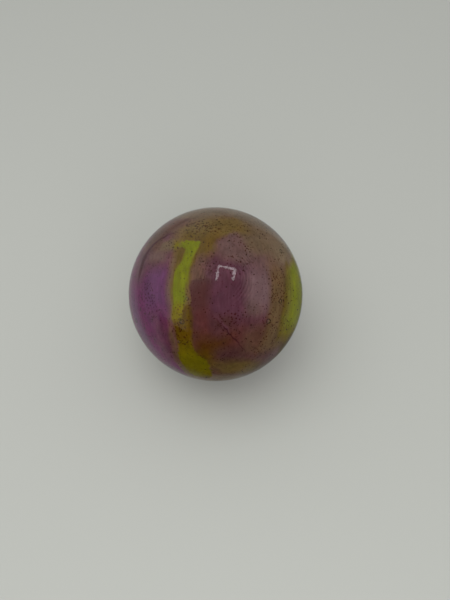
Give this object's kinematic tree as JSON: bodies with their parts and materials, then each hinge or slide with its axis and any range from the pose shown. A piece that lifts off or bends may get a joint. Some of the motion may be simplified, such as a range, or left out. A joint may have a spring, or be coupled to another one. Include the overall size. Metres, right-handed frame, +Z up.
{
  "type": "glass marble",
  "caption": "Solid round glass ball with coloured ribbons and tiny air bubbles sealed inside, for play, display or use as a small weight.",
  "frame": {"origin": "centre of the ball", "axes": "+Z up through the top of the ball; +Y away from the front, which shows the forked ribbon on its left"},
  "size_m": [0.025, 0.025, 0.025],
  "materials": {
    "glass": "fire-polished"
  },
  "bodies": {
    "root": {"marble": "glass"}
  },
  "joints": []
}
